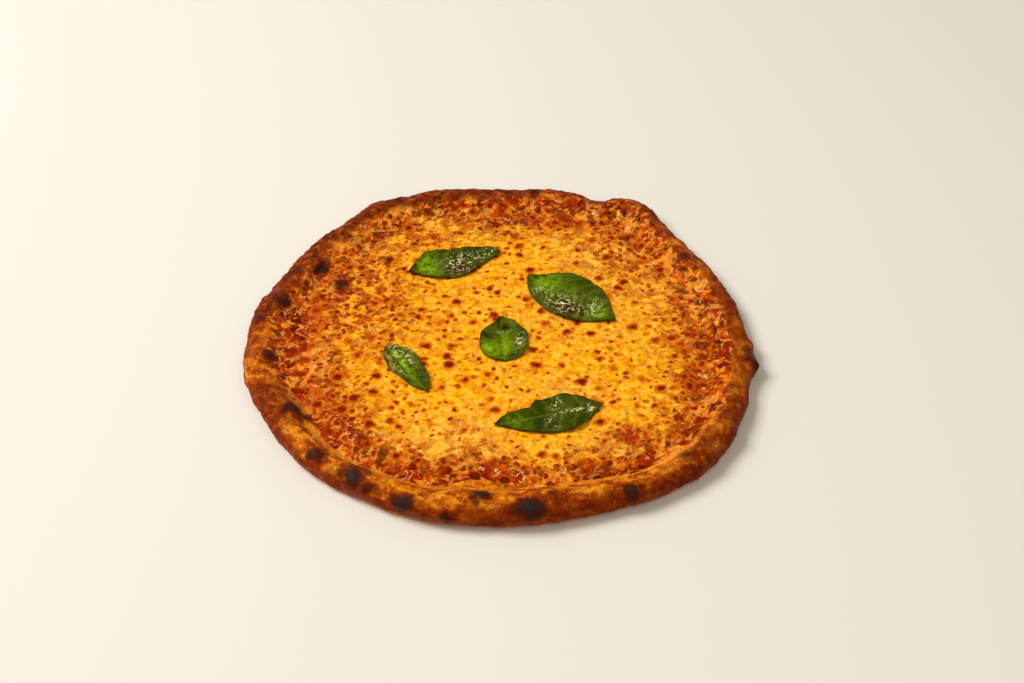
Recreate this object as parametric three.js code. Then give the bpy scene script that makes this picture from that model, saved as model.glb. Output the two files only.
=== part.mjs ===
// A whole margherita pizza as it comes from the oven: bread with a raised, blistered rim,
// tomato sauce, melted mozzarella and five basil leaves.
// Millimetres, +Z up. The origin is the middle of the flat underside, and the front faces -Y.
// Angles round the pizza are in degrees, from +X towards +Y.
import * as THREE from "three";

const STATIONS = 120; // points round every ring
const GAP = 0.35; // left between layers that touch

// The bread, and the rim of a round pizza before its own unevenness.
const BREAD = {
  radius: 157.5,
  base: 4.2, // thickness under the sauce
  rimHeight: 12.5,
  rimWidth: 30,
  innerShare: 0.62, // of the rim's width, from the crease up to the crest
  waist: 7.2, // height of the rim's widest line
  tuck: 6, // how far the rim turns in below that line
};

// Where the rim's outline leaves the circle: at an angle, over a spread, by millimetres outwards.
const OUTLINE_BULGES = [
  { at: 4, spread: 5, by: -2.2 },
  { at: 20, spread: 15, by: -2.2 },
  { at: 47, spread: 5, by: 2.2 },
  { at: 57, spread: 6.5, by: 14.8 }, // the lobe at the back right
  { at: 64, spread: 3, by: -8.6 }, // the nick beside it
  { at: 73, spread: 8, by: 6.6 },
  { at: 86, spread: 4, by: -1.4 },
  { at: 107, spread: 11, by: 7 },
  { at: 123, spread: 5.5, by: 9.6 }, // the corner at the back left
  { at: 141, spread: 6, by: 3 },
  { at: 161, spread: 5, by: -2.2 },
  { at: 171, spread: 4, by: 1.8 },
  { at: 186, spread: 16, by: 4 },
  { at: 209, spread: 5, by: -1.8 },
  { at: 232, spread: 4, by: 1.8 },
  { at: 240, spread: 4, by: -1.2 },
  { at: 271, spread: 12, by: -2 },
  { at: 317, spread: 11, by: 7 }, // the pulled front right
  { at: 341, spread: 12, by: 1.9 },
];

// Where the rim is broader or narrower, and higher or lower, than its mean.
const WIDTH_BULGES = [
  { at: 54, spread: 10, by: 3 },
  { at: 234, spread: 16, by: -6.5 },
  { at: 272, spread: 14, by: 1.5 },
  { at: 303, spread: 10, by: -3.5 },
];
const HEIGHT_BULGES = [
  { at: 50, spread: 12, by: 1.3 },
  { at: 123, spread: 10, by: 0.8 },
  { at: 175, spread: 25, by: -1.2 },
  { at: 265, spread: 38, by: 4 }, // the front stands up the most
];

// The large blisters: an angle, how far over the rim (0 at the crease, 1 at the crest,
// 2 at the widest line), a radius and a height.
const BLISTERS = [
  { at: 350, over: 1.9, radius: 6, height: 3.2 }, // the burnt point that sticks out on the right
  { at: 31, over: 0.95, radius: 8, height: 1.8 },
  { at: 57, over: 1.2, radius: 10, height: 2 },
  { at: 80, over: 1, radius: 8, height: 1.6 },
  { at: 110, over: 1.1, radius: 10, height: 1.6 },
  { at: 152, over: 0.8, radius: 9, height: 2 },
  { at: 190, over: 0.9, radius: 8, height: 1.8 },
  { at: 210, over: 0.9, radius: 7, height: 1.8 },
  { at: 225, over: 1.45, radius: 8, height: 1.8 },
  { at: 237, over: 1.35, radius: 9, height: 2 },
  { at: 251, over: 1.6, radius: 8, height: 2 },
  { at: 266, over: 1, radius: 7, height: 1.8 },
  { at: 276, over: 1.5, radius: 10, height: 2 },
  { at: 299, over: 1.7, radius: 8, height: 1.8 },
  { at: 322, over: 1.1, radius: 10, height: 1.6 },
];

// The tomato sauce: its thickness inside and at its edge, and how far it climbs towards the rim's crest.
const SAUCE = { thickness: 0.9, edge: 0.4, upTheRim: 0.3 };
const CLIMB_BULGES = [
  { at: 20, spread: 25, by: 0.2 },
  { at: 75, spread: 40, by: 0.5 },
  { at: 140, spread: 22, by: 0.2 },
  { at: 180, spread: 16, by: 0.15 },
  { at: 235, spread: 17, by: -0.22 },
  { at: 266, spread: 8, by: -0.42 },
  { at: 330, spread: 20, by: 0.25 },
];

// Melted mozzarella, which stops shy of the sauce's edge, and its baked blisters.
const CHEESE = { thickness: 2.3, edge: 0.7, shy: 2.5 };
const CHEESE_BLISTERS = { count: 110, radius: 7, height: 0.8, reach: 126 };

// Rings of the rim's inner slope, those that the layers share with it, and the least step between two.
const SLOPE_RINGS = 6;
const LAYER_RINGS = [-2, 0, 1, 2, 3, 4];
const LEAST_STEP = 0.5;

// Where the cheese's edge draws back and bares the sauce.
const BARE_SAUCE = [
  { at: 88, spread: 9, by: 6 },
  { at: 170, spread: 9, by: 8 },
  { at: 190, spread: 9, by: 11 },
  { at: 222, spread: 6, by: 5 },
  { at: 252, spread: 6, by: 6 },
  { at: 266, spread: 6, by: 9 },
  { at: 295, spread: 4, by: 5 },
  { at: 310, spread: 5, by: 9 },
];

// The basil, from the back of the pizza to the front: the middle, the length, the way the tip points, how
// deep each leaf is cupped and how high its edge waves. left and right hold how far the two edges lie from
// the midrib, as [share of the length from the stem, millimetres].
const LEAF_THICKNESS = 0.6;
const LEAVES = [
  {
    x: -31, y: 75, length: 65, heading: 20.5, cup: 1.2, wave: 0.9,
    left: [
      [0, 0.8], [0.12, 10.5], [0.25, 17], [0.35, 17.2],
      [0.66, 12.4], [0.82, 10.4], [0.93, 7.6], [1, 0.8],
    ],
    right: [
      [0, 0.8], [0.06, 3.2], [0.2, 10.6], [0.36, 14.6],
      [0.55, 14.8], [0.73, 8.8], [0.9, 3.8], [1, 0.8],
    ],
  },
  {
    x: 45.2, y: 36.9, length: 71.5, heading: -39, cup: 1.6, wave: 0.8,
    left: [
      [0, 1], [0.05, 5], [0.11, 10.5], [0.26, 18],
      [0.47, 22.5], [0.61, 20.5], [0.75, 15.5], [0.88, 8.5], [1, 0.6],
    ],
    right: [
      [0, 1], [0.05, 5], [0.19, 14.5], [0.37, 18.6],
      [0.56, 19.4], [0.7, 17], [0.85, 9.5], [1, 0.6],
    ],
  },
  {
    x: 1, y: -3.6, length: 41.5, heading: 94, cup: 2.4, wave: 1.1,
    left: [
      [0, 1], [0.04, 6], [0.14, 11], [0.26, 14.2],
      [0.45, 14.6], [0.6, 13.6], [0.75, 9.8], [0.9, 4], [1, 0.6],
    ],
    right: [
      [0, 1], [0.04, 6], [0.14, 11.6], [0.3, 15.2],
      [0.5, 16.1], [0.68, 14.8], [0.85, 10.2], [0.94, 6], [1, 0.6],
    ],
  },
  {
    x: -58, y: -31.6, length: 49, heading: -56, cup: 2.8, wave: 0.7,
    left: [
      [0, 1], [0.05, 5], [0.16, 9.4], [0.34, 10.7],
      [0.53, 10], [0.7, 8.6], [0.85, 6.4], [0.94, 3.6], [1, 0.6],
    ],
    right: [
      [0, 1], [0.06, 3.8], [0.2, 7], [0.38, 8.7],
      [0.55, 8.2], [0.7, 6.4], [0.85, 4], [1, 0.6],
    ],
  },
  {
    x: 29, y: -71.8, length: 67, heading: 196, cup: 1.4, wave: 1,
    left: [
      [0, 0.8], [0.08, 5.2], [0.2, 11.8], [0.32, 16],
      [0.47, 16], [0.65, 13.4], [0.8, 8.4], [0.92, 3], [1, 0.6],
    ],
    right: [
      [0, 0.8], [0.08, 4], [0.2, 10], [0.3, 14], [0.4, 14.6],
      [0.5, 12], [0.58, 11.8], [0.63, 9], [0.75, 8.8], [0.88, 6], [1, 0.6],
    ],
  },
];

const FINISH = {
  crust: { color: "#a9591d", roughness: 0.75 },
  sauce: { color: "#b0300d", roughness: 0.35 },
  cheese: { color: "#e8a23a", roughness: 0.4 },
  basil: { color: "#3f6d1e", roughness: 0.45 },
};

const radians = THREE.MathUtils.degToRad;
const clamp = THREE.MathUtils.clamp;

// A repeatable stream of random numbers from 0 to 1.
function seededRandom(seed) {
  let state = seed;
  return () => {
    state = (state + 0x6d2b79f5) | 0;
    let mixed = Math.imul(state ^ (state >>> 15), 1 | state);
    mixed = (mixed + Math.imul(mixed ^ (mixed >>> 7), 61 | mixed)) ^ mixed;
    return ((mixed ^ (mixed >>> 14)) >>> 0) / 2 ** 32;
  };
}

// The sum of smooth bulges at an angle.
function bulges(list, angle) {
  return list.reduce((sum, { at, spread, by }) => {
    const apart = ((angle - at + 540) % 360) - 180;
    return sum + by * Math.exp(-((apart / spread) ** 2) / 2);
  }, 0);
}

// The small unevenness of dough shaped by hand.
function handmade(angle, phase) {
  const turn = radians(angle);
  const coarse = Math.sin(7 * turn + phase) + 0.7 * Math.sin(13 * turn + 2 * phase);
  return coarse + 0.5 * Math.sin(23 * turn - phase);
}

const rimRadius = (angle) => BREAD.radius + bulges(OUTLINE_BULGES, angle) + 0.5 * handmade(angle, 1.1);
const rimWidth = (angle) => BREAD.rimWidth + bulges(WIDTH_BULGES, angle) + 0.6 * handmade(angle, 2.3);
const rimHeight = (angle) => BREAD.rimHeight + bulges(HEIGHT_BULGES, angle) + 0.4 * handmade(angle, 4.2);
const creaseRadius = (angle) => rimRadius(angle) - rimWidth(angle);
const slopeWidth = (angle) => rimWidth(angle) * BREAD.innerShare;

// A point at an angle, a radius and a height.
function polar(angle, radius, height) {
  return new THREE.Vector3(radius * Math.cos(radians(angle)), radius * Math.sin(radians(angle)), height);
}

// Height of the bread's upper face from the middle out to the rim's crest: straight from ring to ring,
// so that the layers keep their gap from it.
function breadTop(angle, radius) {
  const climb = SLOPE_RINGS * clamp((radius - creaseRadius(angle)) / slopeWidth(angle), 0, 1);
  const ring = Math.min(Math.floor(climb), SLOPE_RINGS - 1);
  const [low, high] = [ring, ring + 1].map((step) => THREE.MathUtils.smoothstep(step / SLOPE_RINGS, 0, 1));
  return THREE.MathUtils.lerp(BREAD.base, rimHeight(angle), THREE.MathUtils.lerp(low, high, climb - ring));
}

// A point on the rim's section: 0 at the crease, 1 at the crest, 2 at the widest line, 3 underneath.
function rimPoint(angle, over) {
  const radius = rimRadius(angle);
  const crest = creaseRadius(angle) + slopeWidth(angle);
  if (over <= 1) {
    const along = creaseRadius(angle) + over * slopeWidth(angle);
    return polar(angle, along, breadTop(angle, along));
  }
  if (over <= 2) {
    const turn = (over - 1) * (Math.PI / 2);
    const height = BREAD.waist + (rimHeight(angle) - BREAD.waist) * Math.cos(turn) ** 0.9;
    return polar(angle, crest + (radius - crest) * Math.sin(turn), height);
  }
  const under = (over - 2) * (Math.PI / 2);
  return polar(angle, radius - BREAD.tuck * (1 - Math.cos(under)), BREAD.waist * (1 - Math.sin(under)));
}

// How far the sauce climbs towards the crest, as a share of the way.
const sauceClimb = (angle) => SAUCE.upTheRim + bulges(CLIMB_BULGES, angle);

// A point of the rim pushed out of the bread where a blister swells, above the line that the sauce reaches.
function blisteredPoint(angle, over) {
  const point = rimPoint(angle, over);
  const heart = polar(angle, rimRadius(angle) - rimWidth(angle) / 2, BREAD.base);
  const outwards = point.clone().sub(heart).normalize();
  const swell = BLISTERS.reduce((most, blister) => {
    const apart = point.distanceTo(rimPoint(blister.at, blister.over)) / blister.radius;
    return most + blister.height * Math.exp(-(apart ** 2));
  }, 0);
  const clear = sauceClimb(angle);
  return point.addScaledVector(outwards, swell * THREE.MathUtils.smoothstep(over, clear, clear + 0.35));
}

// One closed body from rings of points, which start round a middle point on top and end round one below.
function bodyOfRings(topMiddle, rings, lowMiddle) {
  const positions = [topMiddle, ...rings.flat(), lowMiddle].flatMap((point) => point.toArray());
  const index = [];
  const at = (ring, station) => 1 + ring * STATIONS + (station % STATIONS);
  const last = rings.length - 1;
  for (let station = 0; station < STATIONS; station++) {
    index.push(0, at(0, station), at(0, station + 1));
    for (let ring = 0; ring < last; ring++) {
      index.push(at(ring, station), at(ring + 1, station), at(ring + 1, station + 1));
      index.push(at(ring, station), at(ring + 1, station + 1), at(ring, station + 1));
    }
    index.push(1 + rings.length * STATIONS, at(last, station + 1), at(last, station));
  }
  return geometryOf(positions, index);
}

function geometryOf(positions, index) {
  const geometry = new THREE.BufferGeometry();
  geometry.setAttribute("position", new THREE.Float32BufferAttribute(positions, 3));
  geometry.setIndex(index);
  geometry.computeVertexNormals();
  return geometry;
}

// One ring: a point at every station, worked out from its angle.
function ringOf(pointAt) {
  return Array.from({ length: STATIONS }, (_, station) => pointAt((360 * station) / STATIONS));
}

// Evenly spaced numbers after the first one, up to and with the last one.
function steps(first, last, count) {
  return Array.from({ length: count }, (_, step) => first + ((last - first) * (step + 1)) / count);
}

function crustGeometry() {
  const flat = [0.5, 0.94].map((share) =>
    ringOf((angle) => polar(angle, share * creaseRadius(angle), BREAD.base)),
  );
  const crease = ringOf((angle) => rimPoint(angle, 0));
  const inner = steps(0, 1, SLOPE_RINGS).map((over) => ringOf((angle) => blisteredPoint(angle, over)));
  const outer = steps(1, 2, 5).map((over) => ringOf((angle) => blisteredPoint(angle, over)));
  const under = steps(2, 3, 2).map((over) => ringOf((angle) => rimPoint(angle, over)));
  return bodyOfRings(
    new THREE.Vector3(0, 0, BREAD.base),
    [...flat, crease, ...inner, ...outer, ...under],
    new THREE.Vector3(0, 0, 0),
  );
}

const sauceReach = (angle) => creaseRadius(angle) + sauceClimb(angle) * slopeWidth(angle);

function sauceTop(angle, radius) {
  const thinning = clamp((sauceReach(angle) - radius) / 4, 0, 1);
  return breadTop(angle, radius) + GAP + THREE.MathUtils.lerp(SAUCE.edge, SAUCE.thickness, thinning);
}

const sauceFoot = (angle, radius) => breadTop(angle, radius) + GAP;
const cheeseFoot = (angle, radius) => sauceTop(angle, radius) + GAP;

// A layer's rings at the height of one of its faces, from the inside out to its edge.
function layerRings(reach, heightAt) {
  return [...LAYER_RINGS, Infinity].map((step, order, all) => {
    const spare = (all.length - 1 - order) * LEAST_STEP;
    return ringOf((angle) => {
      const along = creaseRadius(angle) + (step * slopeWidth(angle)) / SLOPE_RINGS;
      const radius = Math.min(along, reach(angle) - spare);
      return polar(angle, radius, heightAt(angle, radius));
    });
  });
}

function sauceGeometry() {
  const middle = BREAD.base + GAP;
  return bodyOfRings(
    new THREE.Vector3(0, 0, middle + SAUCE.thickness),
    [...layerRings(sauceReach, sauceTop), ...layerRings(sauceReach, sauceFoot).toReversed()],
    new THREE.Vector3(0, 0, middle),
  );
}

const cheeseReach = (angle) =>
  sauceReach(angle) - CHEESE.shy - bulges(BARE_SAUCE, angle) + 0.8 * handmade(angle, 0.4);

// The cheese's blisters, spread evenly over the disc by the golden angle and nudged at random.
function spreadBlisters({ count, height, reach }) {
  const random = seededRandom(11);
  const goldenAngle = 180 * (3 - Math.sqrt(5));
  return Array.from({ length: count }, (_, order) => {
    const angle = order * goldenAngle + 12 * random();
    const middle = polar(angle, reach * Math.sqrt((order + random()) / count), 0);
    return { middle, height: height * (0.5 + 0.5 * random()) };
  });
}
const cheeseBlisters = spreadBlisters(CHEESE_BLISTERS);

function cheeseTop(angle, radius) {
  const here = polar(angle, radius, 0);
  const relief = cheeseBlisters.reduce((most, { middle, height }) => {
    const apart = here.distanceTo(middle) / CHEESE_BLISTERS.radius;
    return Math.max(most, height * Math.exp(-(apart ** 2)));
  }, 0);
  const thinning = clamp((cheeseReach(angle) - radius) / 6, 0, 1);
  const thickness = THREE.MathUtils.lerp(CHEESE.edge, CHEESE.thickness, Math.sqrt(thinning));
  return cheeseFoot(angle, radius) + thickness + relief * thinning;
}

function cheeseGeometry() {
  const shares = [...steps(0, 0.9, 9), 0.94, 0.975, 1];
  const top = shares.map((share) =>
    ringOf((angle) => polar(angle, share * cheeseReach(angle), cheeseTop(angle, share * cheeseReach(angle)))),
  );
  const low = layerRings(cheeseReach, cheeseFoot).toReversed();
  return bodyOfRings(
    new THREE.Vector3(0, 0, cheeseTop(0, 0)),
    [...top, ...low],
    new THREE.Vector3(0, 0, cheeseFoot(0, 0)),
  );
}

// Where a leaf's edge lies at a share of its length: a smooth curve through the points given for it.
function edgeAt(points, along) {
  const curve = new THREE.SplineCurve(points.map(([share, out]) => new THREE.Vector2(share, out)));
  const spans = points.length - 1;
  const next = Math.max(1, points.findIndex(([share]) => share >= along));
  const [low, high] = [points[next - 1][0], points[next][0]];
  return curve.getPoint((next - 1 + (along - low) / (high - low)) / spans).y;
}

// A basil leaf along +X, stem end first: a thin wavy sheet with a sunk midrib, both faces split alike.
function leafGeometry({ length, left, right, cup, wave }) {
  const alongSteps = 14;
  const acrossSteps = 6;
  const faces = [];
  for (const lift of [LEAF_THICKNESS, 0]) {
    for (let i = 0; i <= alongSteps; i++) {
      const along = 0.02 + (0.96 * i) / alongSteps;
      for (let j = 0; j <= acrossSteps; j++) {
        const across = (2 * j) / acrossSteps - 1;
        const ripple = wave * Math.abs(across) * (1 + Math.sin(17 * along + 2.4 * Math.sign(across)));
        const height = cup * across ** 2 * Math.sin(Math.PI * along) + ripple + lift;
        faces.push((along - 0.5) * length, across * edgeAt(across > 0 ? left : right, along), height);
      }
    }
  }
  const row = acrossSteps + 1;
  const lowFace = (alongSteps + 1) * row;
  const index = [];
  for (let i = 0; i < alongSteps; i++) {
    for (let j = 0; j < acrossSteps; j++) {
      const near = i * row + j;
      const far = near + row;
      index.push(near, far, far + 1, near, far + 1, near + 1);
      index.push(lowFace + near, lowFace + far + 1, lowFace + far);
      index.push(lowFace + near, lowFace + near + 1, lowFace + far + 1);
    }
  }
  return geometryOf(faces, [...index, ...leafEdge(alongSteps, acrossSteps)]);
}

// The narrow wall that joins a leaf's two faces all round.
function leafEdge(alongSteps, acrossSteps) {
  const row = acrossSteps + 1;
  const lowFace = (alongSteps + 1) * row;
  const loop = [];
  for (let i = 0; i < alongSteps; i++) loop.push(i * row);
  for (let j = 0; j < acrossSteps; j++) loop.push(alongSteps * row + j);
  for (let i = alongSteps; i > 0; i--) loop.push(i * row + acrossSteps);
  for (let j = acrossSteps; j > 0; j--) loop.push(j);
  return loop.flatMap((here, k) => {
    const next = loop[(k + 1) % loop.length];
    return [here, lowFace + here, lowFace + next, here, lowFace + next, next];
  });
}

// The highest point of the cheese under a leaf, which the leaf rests on.
function cheeseUnder({ x, y, length }) {
  let highest = 0;
  for (let dx = -length / 2; dx <= length / 2; dx += 3) {
    for (let dy = -length / 2; dy <= length / 2; dy += 3) {
      const angle = THREE.MathUtils.radToDeg(Math.atan2(y + dy, x + dx));
      highest = Math.max(highest, cheeseTop(angle, Math.hypot(x + dx, y + dy)));
    }
  }
  return highest;
}

function meshOf(name, geometry, finish) {
  const mesh = new THREE.Mesh(geometry, new THREE.MeshStandardMaterial({ ...finish, metalness: 0 }));
  mesh.name = name;
  return mesh;
}

function leafMesh(leaf, number) {
  const mesh = meshOf(`basil_leaf_${number}`, leafGeometry(leaf), FINISH.basil);
  mesh.position.set(leaf.x, leaf.y, cheeseUnder(leaf) + GAP);
  mesh.rotation.z = radians(leaf.heading);
  return mesh;
}

const pizza = new THREE.Group();
pizza.add(meshOf("crust", crustGeometry(), FINISH.crust));
pizza.add(meshOf("tomato_sauce", sauceGeometry(), FINISH.sauce));
pizza.add(meshOf("mozzarella", cheeseGeometry(), FINISH.cheese));
LEAVES.forEach((leaf, order) => pizza.add(leafMesh(leaf, order + 1)));

export default pizza;
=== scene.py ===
"""A whole margherita pizza: baked dough with a raised rim, tomato sauce, melted mozzarella and basil.

Lengths in the lists below are millimetres and angles are degrees, from +X towards +Y. The front of the
pizza faces -Y. Each operator makes one piece, or a group of like pieces, at its true place.
"""

import math

import bpy
import numpy as np
from bpy.props import FloatProperty, FloatVectorProperty, IntProperty, PointerProperty
from bpy.types import Operator, Panel, PropertyGroup
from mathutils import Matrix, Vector, noise


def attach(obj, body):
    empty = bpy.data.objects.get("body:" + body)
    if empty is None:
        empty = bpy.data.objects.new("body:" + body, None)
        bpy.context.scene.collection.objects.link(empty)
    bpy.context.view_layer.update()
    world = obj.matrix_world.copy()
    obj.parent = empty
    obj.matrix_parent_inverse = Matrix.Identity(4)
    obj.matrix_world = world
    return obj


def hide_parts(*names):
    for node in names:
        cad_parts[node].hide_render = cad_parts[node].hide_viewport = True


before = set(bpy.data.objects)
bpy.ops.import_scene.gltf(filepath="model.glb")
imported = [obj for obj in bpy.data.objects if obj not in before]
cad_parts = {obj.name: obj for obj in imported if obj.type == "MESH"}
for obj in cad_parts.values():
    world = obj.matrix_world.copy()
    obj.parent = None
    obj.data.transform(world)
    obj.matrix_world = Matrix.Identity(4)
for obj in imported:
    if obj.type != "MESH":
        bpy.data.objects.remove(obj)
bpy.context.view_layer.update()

bl_info = {
    "name": "Margherita Pizza",
    "version": (1, 0, 0),
    "blender": (4, 5, 0),
    "location": "View3D > Sidebar > Pizza",
    "description": "Bakes a margherita pizza piece by piece",
    "category": "Mesh",
}

MM = 0.001

# The even ring that the rim is pulled from. Its crest lies at a share of its width, it is widest at its
# waist, and it is tucked in below. The last rings of the base lie just inside its crease.
RIM_RADIUS = 157.5
RIM_WIDTH = 30
RIM_HEIGHT = 12.5
BASE_HEIGHT = 4.2
CREST_SHARE = 0.62
WAIST_HEIGHT = 7.2
TUCK = 6
EVEN_CREASE = RIM_RADIUS - RIM_WIDTH
BASE_RINGS = [EVEN_CREASE - 12, EVEN_CREASE - 5]

# Where the outline, the rim's width and the rim's height leave the mean: (angle, spread, by).
OUTLINE_BULGES = [
    (4, 5, -2.2), (20, 15, -2.2), (47, 5, 2.2), (57, 6.5, 14.8), (64, 3, -8.6), (73, 8, 6.6), (86, 4, -1.4),
    (107, 11, 7), (123, 5.5, 9.6), (141, 6, 3), (161, 5, -2.2), (171, 4, 1.8), (186, 16, 4), (209, 5, -1.8),
    (232, 4, 1.8), (240, 4, -1.2), (271, 12, -2), (317, 11, 7), (341, 12, 1.9),
]
WIDTH_BULGES = [(54, 10, 3), (234, 16, -6.5), (272, 14, 1.5), (303, 10, -3.5)]
HEIGHT_BULGES = [(50, 12, 1.3), (123, 10, 0.8), (175, 25, -1.2), (265, 38, 4)]

# Large blisters of the rim: (angle, how far over the rim, radius, height, how burnt). Over is 0 at the
# crease, 1 at the crest, 2 at the widest line and 3 underneath.
RIM_BLISTERS = [
    (350, 1.9, 6, 3.2, 1.0), (350, 1.95, 3, 2.4, 1.0), (31, 0.95, 7.5, 1.8, 0.5), (57, 1.2, 10, 1.6, 0.15),
    (81.5, 1.1, 5, 1.6, 0.85), (110, 1.1, 10, 1.6, 0.15), (150, 0.6, 6.5, 2.0, 0.9),
    (159, 0.55, 4.5, 0.6, 0.6), (167, 0.85, 9, 1.0, 0.62), (175, 1.3, 6, 0.8, 0.5),
    (189, 0.8, 5.5, 1.8, 0.78), (209.5, 0.75, 6, 1.8, 0.9), (212.5, 0.32, 3, 0.6, 0.8),
    (226.5, 1.25, 5.5, 1.6, 0.82), (237.5, 1.3, 8, 2.0, 0.88), (241.5, 1.55, 5, 1.0, 0.7),
    (250, 1.65, 6.5, 2.0, 0.95), (259.5, 1.8, 4.5, 1.0, 0.75), (266, 1.02, 4.8, 1.8, 0.92),
    (276, 1.5, 8, 2.0, 1.0), (282, 1.1, 5, 0.8, 0.45), (298, 1.6, 6, 1.8, 0.85), (304, 1.75, 3.5, 0.6, 0.5),
    (317, 1.5, 4, 0.8, 0.5), (322, 1.1, 10, 1.6, 0.12), (9, 1.3, 5, 1.0, 0.4), (98, 1.2, 5, 1.0, 0.4),
    (128, 1.2, 6, 0.5, 0.45), (351, 1.6, 8, 0.2, 0.7), (358, 1.9, 5, 0.2, 0.5),
]
# A blister is this much longer along the rim than across it.
BLISTER_STRETCH = 1.35
# The crowd of small ones: how many, how far over the rim, their radius, and their height as a share of it.
SMALL_RIM_BLISTERS = dict(count=420, over=(0.3, 2.4), radius=(1.4, 4.8), height=0.12)
# Places where the topping itself is burnt: (x, y, radius, how burnt).
BURNT_TOPPING = [(-105, 53, 7, 0.75), (-117, 41, 4, 0.35), (88, 92, 5, 0.3), (-76, 78, 5.5, 0.45)]
# The folds that gather at the right: their middle angle, spread, height and how many to a degree.
FOLDS = dict(at=6, spread=9, height=0.9, per_degree=0.28)

# The lumps of each surface: (their size, their height, how many finer layers they have, seed).
RIM_LUMPS = [(24, 1.0, 2, 1), (8, 0.8, 3, 2), (2.6, 0.3, 2, 3)]
SAUCE_LUMPS = [(5, 0.45, 3, 5), (1.8, 0.15, 2, 6)]
CHEESE_LUMPS = [(20, 0.35, 2, 3), (5, 0.4, 3, 4), (1.8, 0.12, 2, 5)]
CHEESE_EDGE_LUMPS = [(9, 5, 3, 9), (2.6, 1.2, 2, 8)]

# How brown the rim is along its length, where it is baked evenly, and where a pale strip of painted light
# runs along the lit edge of the inner slope.
BROWNED = [
    (161, 17, 0.9), (209, 8, 0.7), (130, 22, 0.5), (112, 13, 0.3), (85, 25, 0.7), (20, 22, 0.5),
    (340, 14, 0.3), (318, 13, 0.5),
]
EVENLY_BAKED = [(2, 22, 1.0)]
PAINTED_LIGHT_STRIP = [(219, 7, 1.0), (241, 15, 0.7), (290, 10, 0.9), (312, 8, 0.8)]
# The pale strip, painted light, lies this far above the sauce's edge, and a pale foot runs round the bottom
# of the wall.
PALE_STRIP = dict(above=0.16, width=0.14, wander=0.05)
PALE_FOOT = dict(over=2.8, width=0.2, strength=0.7)
# Where the dark outer wall reaches higher, as a share of the way over the rim.
DEEP_WALL = [(281, 12, 0.14), (15, 14, 0.06), (170, 30, 0.08), (196, 10, -0.12)]

# The sauce climbs this share of the way to the crest. It thins out over a width at its edge, which dips
# into the dough.
SAUCE_CLIMB = 0.3
CLIMB_BULGES = [
    (20, 25, 0.2), (75, 40, 0.5), (140, 22, 0.2), (180, 16, 0.15), (235, 17, -0.22), (266, 8, -0.42),
    (330, 20, 0.25),
]
SAUCE_THICKNESS = 1.25
SAUCE_EDGE = 5
SAUCE_DIP = 0.3

# The cheese stops shy of the sauce's edge, and further in where sauce lies bare. It thins out over a width
# at its edge. There, and under a pool of sauce, it sinks in.
CHEESE_SHY = 2.5
BARE_SAUCE = [
    (88, 9, 6), (170, 9, 8), (190, 9, 11), (222, 6, 5), (252, 6, 6), (266, 6, 9), (295, 4, 5), (310, 5, 9),
]
CHEESE_THICKNESS = 2.6
CHEESE_EDGE = 7
CHEESE_SINK = 0.9

# Each layer is closed underneath, this high above the base and at this share of its reach.
SAUCE_FOOT = (0.3, 0.93)
CHEESE_FOOT = (0.9, 0.95)

# How far past the sauce's edge the rim is splashed with it, as a share of the way to the crest, and how
# wide a strip of the cheese has sauce baked into it.
SPLASH = [(15, 25, 0.45), (62, 18, 0.3), (80, 35, 0.15), (140, 20, 0.2), (182, 24, 0.5), (330, 16, 0.4)]
MIXED_STRIP = 13
MIXED_BULGES = [(90, 42, 20), (178, 26, 22), (15, 32, 18), (225, 14, 6), (330, 20, 6)]
# The cheese is toasted this much further in than the mixed strip.
TOASTED_BEYOND = 12

# The brown blisters on the cheese that stand out from a step away: (x, y, radius). Their brown is strong
# out to a share of it.
BROWN_SHARE = 0.82
LARGE_CHEESE_BLISTERS = [
    (-76, 80, 4.5), (-60, 97, 3), (-66, 70, 3), (-51, 26, 3.6), (-29, 34, 4), (-7, 49, 3),
    (-37, 40, 3), (-47, -9, 4.4), (-32, -27, 4.6), (-100, -38, 5), (-76, -37, 4), (-88, -56, 4.6),
    (-95, -66, 5.2), (-77, -79, 4.4), (22, -27, 4), (20, -13, 3.4), (49, -42, 4.4), (42, 4, 4),
    (57, 3, 3.6), (48, 13, 3), (71, 82, 4.4), (81, 55, 4), (95, 93, 4), (19, 68, 4), (12, 84, 3.4),
    (16, 37, 3.6), (26, 25, 3.4), (59, -77, 4.4), (97, -48, 4), (115, -46, 4), (1, -117, 5),
    (-32, -109, 3.6), (-50, -113, 5), (-60, -105, 3.4), (-5, 21, 4.4), (-69, 1, 3),
]
# The others: how many, how far apart, how far out, their radius, how much rarer they are on pale cheese,
# and how toasted the cheese is where they stand.
SMALLER_CHEESE_BLISTERS = [
    dict(count=90, spacing=12, reach=134, radius=(2.6, 4.4), shy=0.0, toasted=0.4),
    dict(count=300, spacing=7, reach=136, radius=(1.7, 3.8), shy=0.7, toasted=0.0),
    dict(count=900, spacing=4, reach=138, radius=(1.0, 2.2), shy=0.5, toasted=0.0),
]
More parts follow.
